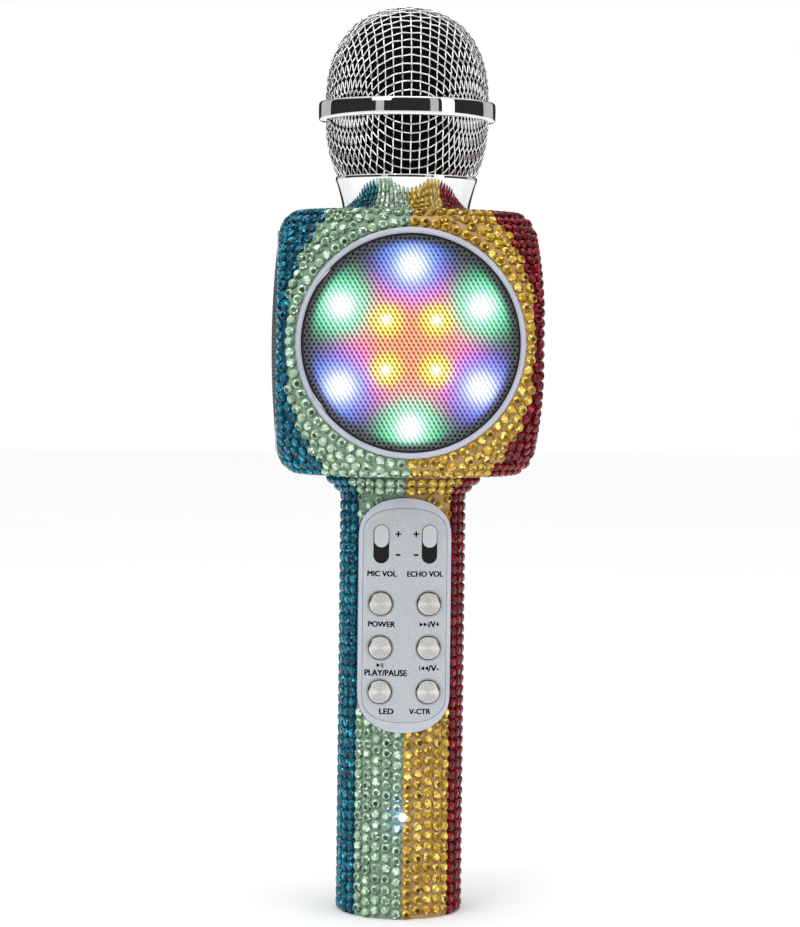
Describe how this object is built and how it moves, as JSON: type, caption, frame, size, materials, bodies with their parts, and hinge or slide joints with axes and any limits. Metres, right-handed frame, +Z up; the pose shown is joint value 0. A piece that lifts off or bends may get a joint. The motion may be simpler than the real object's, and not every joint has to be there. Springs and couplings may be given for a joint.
{
  "type": "karaoke microphone",
  "caption": "Toy karaoke microphone: round stone-covered handle with a control panel, rounded cube speaker housing with lit round grilles, chrome wire-mesh head.",
  "frame": {"origin": "centre of the flat end of the handle, on the microphone's axis", "axes": "+Z up the axis towards the mesh head, the control panel and front speaker face -Y, +X to the right seen from the front"},
  "size_m": [0.0744, 0.0744, 0.252],
  "materials": {
    "shell_plastic": "moulded ABS, light grey",
    "bezel_plastic": "moulded ABS, pale lavender grey, satin",
    "grille_steel": "perforated steel, grey, satin",
    "diffuser": "frosted translucent sheet, lit from behind",
    "lamp_board": "white solder mask with square lamps",
    "basket_steel": "pressed steel and ferrite, black",
    "cone_paper": "pressed paper pulp",
    "diaphragm_rubber": "soft rubber",
    "circuit_board": "green solder mask",
    "black_plastic": "moulded, black",
    "plated_steel": "bright zinc plate",
    "faceplate_metal": "fine bead-blasted, silver grey",
    "button_metal": "spun face with a turned rim",
    "knob_chrome": "polished",
    "battery_wrap": "shrink sleeve",
    "lamp_lens": "clear resin, lit",
    "chrome": "polished plate",
    "wire_mesh": "woven wire, polished plate",
    "foam": "open-cell polyurethane foam",
    "capsule_brass": "satin",
    "stones_teal": "faceted foil-backed crystals on a film",
    "stones_mint": "faceted foil-backed crystals on a film",
    "stones_gold": "faceted foil-backed crystals on a film",
    "stones_red": "faceted foil-backed crystals on a film"
  },
  "bodies": {
    "body": {"handle_shell_front": "shell_plastic", "handle_shell_rear": "shell_plastic", "end_cap": "shell_plastic", "audio_jack": "black_plastic", "charge_socket": "plated_steel", "card_socket": "plated_steel", "housing_shell_front": "shell_plastic", "housing_shell_rear": "shell_plastic", "bezel_front": "bezel_plastic", "bezel_right": "bezel_plastic", "bezel_rear": "bezel_plastic", "bezel_left": "bezel_plastic", "grille_front": "grille_steel", "grille_right": "grille_steel", "grille_rear": "grille_steel", "grille_left": "grille_steel", "diffuser_front": "diffuser", "diffuser_rear": "diffuser", "lamp_board_front": "lamp_board", "lamp_board_rear": "lamp_board", "driver_frame_front": "basket_steel", "driver_frame_rear": "basket_steel", "driver_cone_front": "cone_paper", "driver_cone_rear": "cone_paper", "driver_magnet_front": "basket_steel", "driver_magnet_rear": "basket_steel", "passive_radiator_right": "diaphragm_rubber", "passive_radiator_left": "diaphragm_rubber", "main_board": "circuit_board", "housing_screws": "plated_steel", "control_bezel": "bezel_plastic", "faceplate": "faceplate_metal", "control_board": "circuit_board", "tact_switches": "black_plastic", "slide_pots": "black_plastic", "battery": "battery_wrap", "charge_board": "circuit_board", "status_lamp": "lamp_lens", "collar": "chrome", "collar_nut": "plated_steel", "mesh_lower": "wire_mesh", "head_band": "chrome", "mesh_upper": "wire_mesh", "foam_ball": "foam", "capsule_holder": "black_plastic", "mic_capsule": "capsule_brass", "stones_teal": "stones_teal", "stones_mint": "stones_mint", "stones_gold": "stones_gold", "stones_red": "stones_red"},
    "button_power": {"button_power": "button_metal"},
    "button_play": {"button_play": "button_metal"},
    "button_lamp": {"button_lamp": "button_metal"},
    "button_next": {"button_next": "button_metal"},
    "button_previous": {"button_previous": "button_metal"},
    "button_voice": {"button_voice": "button_metal"},
    "knob_mic_volume": {"knob_mic_volume": "knob_chrome"},
    "knob_echo_volume": {"knob_echo_volume": "knob_chrome"}
  },
  "joints": [
    {"name": "button_power_press", "type": "slide", "parent": "body", "child": "button_power", "axis": [0, 1, 0], "range_m": [0, 0.0008], "stiffness_N_per_m": 600},
    {"name": "button_play_press", "type": "slide", "parent": "body", "child": "button_play", "axis": [0, 1, 0], "range_m": [0, 0.0008], "stiffness_N_per_m": 600},
    {"name": "button_lamp_press", "type": "slide", "parent": "body", "child": "button_lamp", "axis": [0, 1, 0], "range_m": [0, 0.0008], "stiffness_N_per_m": 600},
    {"name": "button_next_press", "type": "slide", "parent": "body", "child": "button_next", "axis": [0, 1, 0], "range_m": [0, 0.0008], "stiffness_N_per_m": 600},
    {"name": "button_previous_press", "type": "slide", "parent": "body", "child": "button_previous", "axis": [0, 1, 0], "range_m": [0, 0.0008], "stiffness_N_per_m": 600},
    {"name": "button_voice_press", "type": "slide", "parent": "body", "child": "button_voice", "axis": [0, 1, 0], "range_m": [0, 0.0008], "stiffness_N_per_m": 600},
    {"name": "mic_volume_slide", "type": "slide", "parent": "body", "child": "knob_mic_volume", "axis": [0, 0, -1], "range_m": [0, 0.0043]},
    {"name": "echo_volume_slide", "type": "slide", "parent": "body", "child": "knob_echo_volume", "axis": [0, 0, -1], "range_m": [0, 0.0043]}
  ]
}
